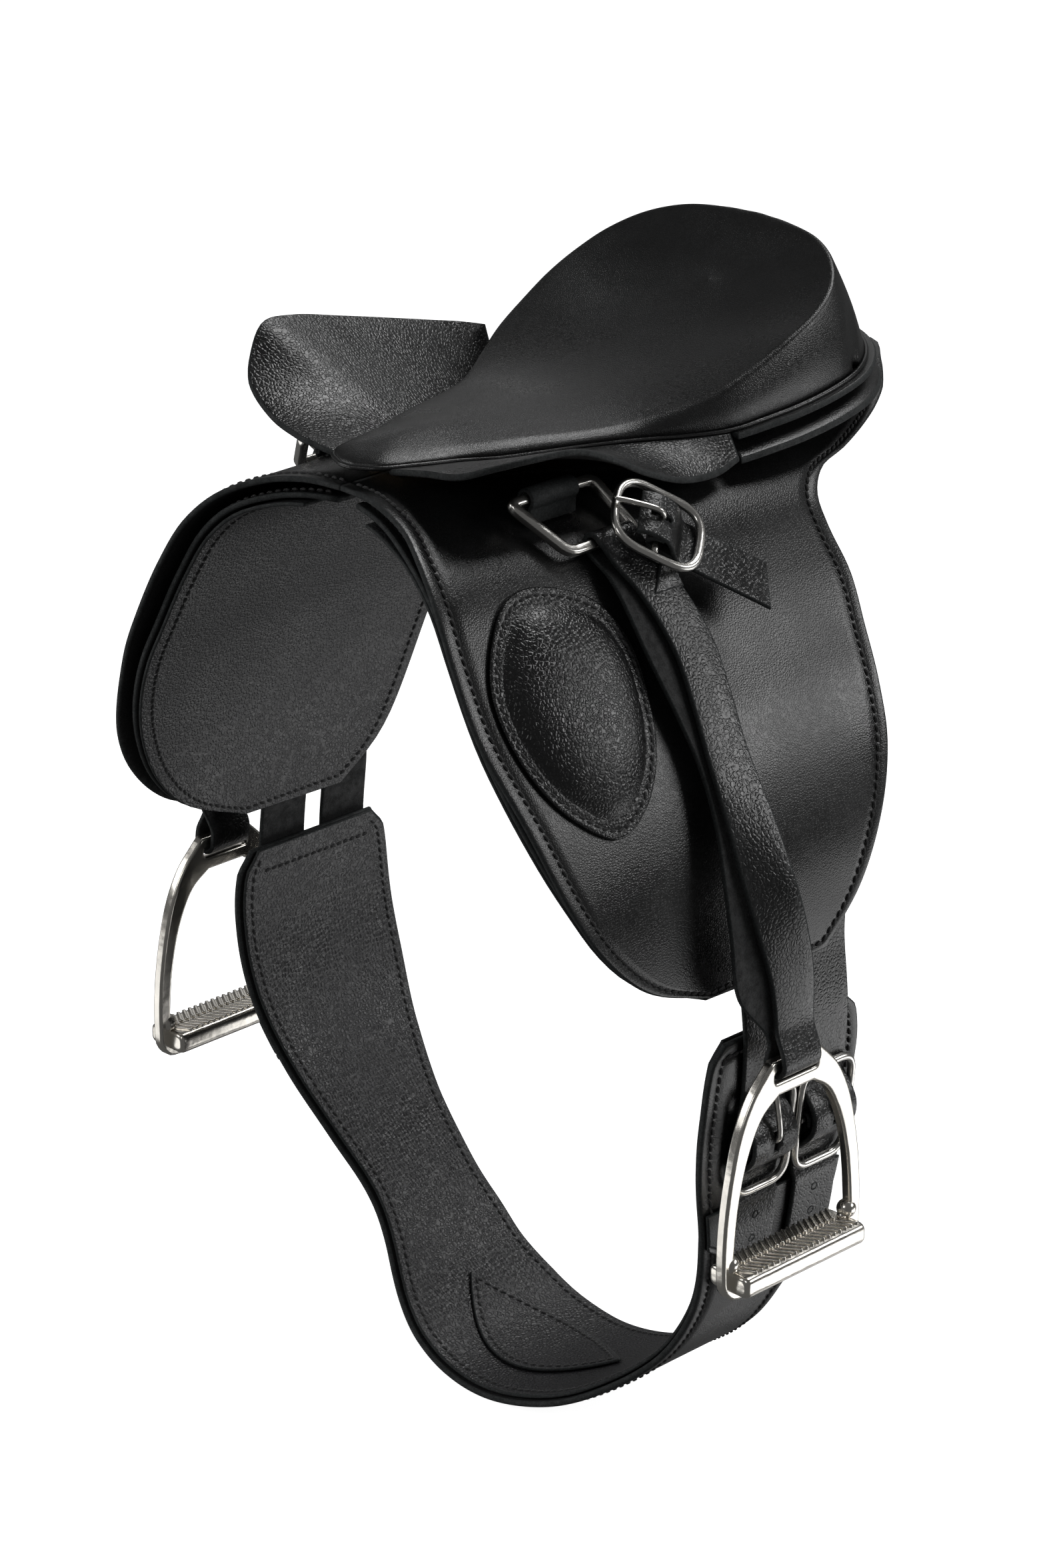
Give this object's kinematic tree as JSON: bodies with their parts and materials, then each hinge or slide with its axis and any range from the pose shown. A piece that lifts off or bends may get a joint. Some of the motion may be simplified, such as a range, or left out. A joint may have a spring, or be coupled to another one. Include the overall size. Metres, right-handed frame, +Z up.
{
  "type": "miniature english riding saddle",
  "caption": "Small black jumping saddle with padded seat, long flaps with knee rolls, closed contour girth, stirrup leathers and metal stirrup irons.",
  "frame": {"origin": "centre of the underside of the gullet strip, where the saddle rests on a rack or a back", "axes": "+X to the horse's left side, -Y towards the pommel, +Y towards the cantle, +Z up"},
  "size_m": [0.246, 0.2229, 0.3413],
  "materials": {
    "smooth_leather": "black, smooth, semi-matte, stitched edges",
    "seat_leather": "black, fine grain, soft sheen",
    "grained_leather": "black, soft, pebbled grain",
    "lining_leather": "dark charcoal, pebbled grain, matte",
    "strap_leather": "black, smooth face with a rough flesh side",
    "nickel": "bright nickel plate",
    "stirrup_nickel": "bright warm nickel plate",
    "webbing": "black woven tape",
    "foam": "hidden filling",
    "tree_wood": "hidden tree"
  },
  "bodies": {
    "saddle": {"tree": "tree_wood", "gullet_strip": "smooth_leather", "billet_webbing": "webbing", "crown_leather": "smooth_leather", "seat_foam": "foam", "seat_cover": "seat_leather", "seat_rim": "smooth_leather", "rear_skirt": "smooth_leather", "girth_body": "smooth_leather", "girth_lining": "lining_leather", "belly_patch": "lining_leather", "sweat_flap_left": "smooth_leather", "lining_left": "lining_leather", "girth_end_cover_left": "smooth_leather", "billet_front_left": "strap_leather", "girth_chape_front_left": "strap_leather", "girth_buckle_front_left": "nickel", "billet_rear_left": "strap_leather", "girth_chape_rear_left": "strap_leather", "girth_buckle_rear_left": "nickel", "sweat_flap_right": "smooth_leather", "lining_right": "lining_leather", "girth_end_cover_right": "smooth_leather", "billet_front_right": "strap_leather", "girth_chape_front_right": "strap_leather", "girth_buckle_front_right": "nickel", "billet_rear_right": "strap_leather", "girth_chape_rear_right": "strap_leather", "girth_buckle_rear_right": "nickel"},
    "skirt_left": {"skirt_wing_left": "smooth_leather"},
    "flap_left": {"flap_left": "smooth_leather", "knee_roll_cover_left": "grained_leather", "knee_roll_pad_left": "foam", "ring_tab_left": "webbing"},
    "ring_left": {"d_ring_left": "nickel"},
    "leather_left": {"stirrup_leather_left": "strap_leather", "leather_buckle_left": "nickel"},
    "leather_pin_left": {"leather_tongue_left": "nickel"},
    "iron_left": {"stirrup_iron_left": "stirrup_nickel"},
    "girth_pin_front_left": {"girth_tongue_front_left": "nickel"},
    "girth_pin_rear_left": {"girth_tongue_rear_left": "nickel"},
    "skirt_right": {"skirt_wing_right": "smooth_leather"},
    "flap_right": {"flap_right": "smooth_leather", "knee_roll_cover_right": "grained_leather", "knee_roll_pad_right": "foam", "ring_tab_right": "webbing"},
    "ring_right": {"d_ring_right": "nickel"},
    "leather_right": {"stirrup_leather_right": "strap_leather", "leather_buckle_right": "nickel"},
    "leather_pin_right": {"leather_tongue_right": "nickel"},
    "iron_right": {"stirrup_iron_right": "stirrup_nickel"},
    "girth_pin_front_right": {"girth_tongue_front_right": "nickel"},
    "girth_pin_rear_right": {"girth_tongue_rear_right": "nickel"}
  },
  "joints": [
    {"name": "skirt_lift_left", "type": "hinge", "parent": "saddle", "child": "skirt_left", "pos_m": [0.01092, -0.083, 0.01457], "axis": [-0.3443, -0.9383, 0.0331], "range_deg": [0, 20]},
    {"name": "flap_lift_left", "type": "hinge", "parent": "saddle", "child": "flap_left", "pos_m": [0.03047, -0.0965, 0.00485], "axis": [-0.1479, -0.9864, 0.0722], "range_deg": [0, 5]},
    {"name": "ring_swing_left", "type": "hinge", "parent": "flap_left", "child": "ring_left", "pos_m": [0.041, -0.051, 0.0076], "axis": [0, -1, 0], "range_deg": [0, 5]},
    {"name": "leather_swing_left", "type": "hinge", "parent": "ring_left", "child": "leather_left", "pos_m": [0.054, -0.044, -0.0052], "axis": [0, -1, 0], "range_deg": [0, 12]},
    {"name": "leather_pin_turn_left", "type": "hinge", "parent": "leather_left", "child": "leather_pin_left", "pos_m": [0.06192, -0.0305, -0.00178], "axis": [-0.498, 0.682, 0.5356], "range_deg": [0, 12]},
    {"name": "iron_swing_left", "type": "hinge", "parent": "leather_left", "child": "iron_left", "pos_m": [0.113, -0.028, -0.1458], "axis": [0, -1, 0], "range_deg": [0, 60]},
    {"name": "girth_pin_turn_front_left", "type": "hinge", "parent": "saddle", "child": "girth_pin_front_left", "pos_m": [0.10008, -0.025, -0.17615], "axis": [0, 1, 0], "range_deg": [0, 12]},
    {"name": "girth_pin_turn_rear_left", "type": "hinge", "parent": "saddle", "child": "girth_pin_rear_left", "pos_m": [0.10008, 0, -0.17615], "axis": [0, 1, 0], "range_deg": [0, 12]},
    {"name": "skirt_lift_right", "type": "hinge", "parent": "saddle", "child": "skirt_right", "pos_m": [-0.01092, -0.083, 0.01457], "axis": [-0.3443, 0.9383, -0.0331], "range_deg": [0, 20]},
    {"name": "flap_lift_right", "type": "hinge", "parent": "saddle", "child": "flap_right", "pos_m": [-0.03047, -0.0965, 0.00485], "axis": [-0.1479, 0.9864, -0.0722], "range_deg": [0, 5]},
    {"name": "ring_swing_right", "type": "hinge", "parent": "flap_right", "child": "ring_right", "pos_m": [-0.041, -0.051, 0.0076], "axis": [0, 1, 0], "range_deg": [0, 5]},
    {"name": "leather_swing_right", "type": "hinge", "parent": "ring_right", "child": "leather_right", "pos_m": [-0.054, -0.044, -0.0052], "axis": [0, 1, 0], "range_deg": [0, 12]},
    {"name": "leather_pin_turn_right", "type": "hinge", "parent": "leather_right", "child": "leather_pin_right", "pos_m": [-0.06192, -0.0305, -0.00178], "axis": [-0.498, -0.682, -0.5356], "range_deg": [0, 12]},
    {"name": "iron_swing_right", "type": "hinge", "parent": "leather_right", "child": "iron_right", "pos_m": [-0.118, -0.0335, -0.1453], "axis": [0, 1, 0], "range_deg": [0, 60]},
    {"name": "girth_pin_turn_front_right", "type": "hinge", "parent": "saddle", "child": "girth_pin_front_right", "pos_m": [-0.09935, -0.025, -0.17674], "axis": [0, -1, 0], "range_deg": [0, 12]},
    {"name": "girth_pin_turn_rear_right", "type": "hinge", "parent": "saddle", "child": "girth_pin_rear_right", "pos_m": [-0.09935, 0, -0.17674], "axis": [0, -1, 0], "range_deg": [0, 12]}
  ]
}
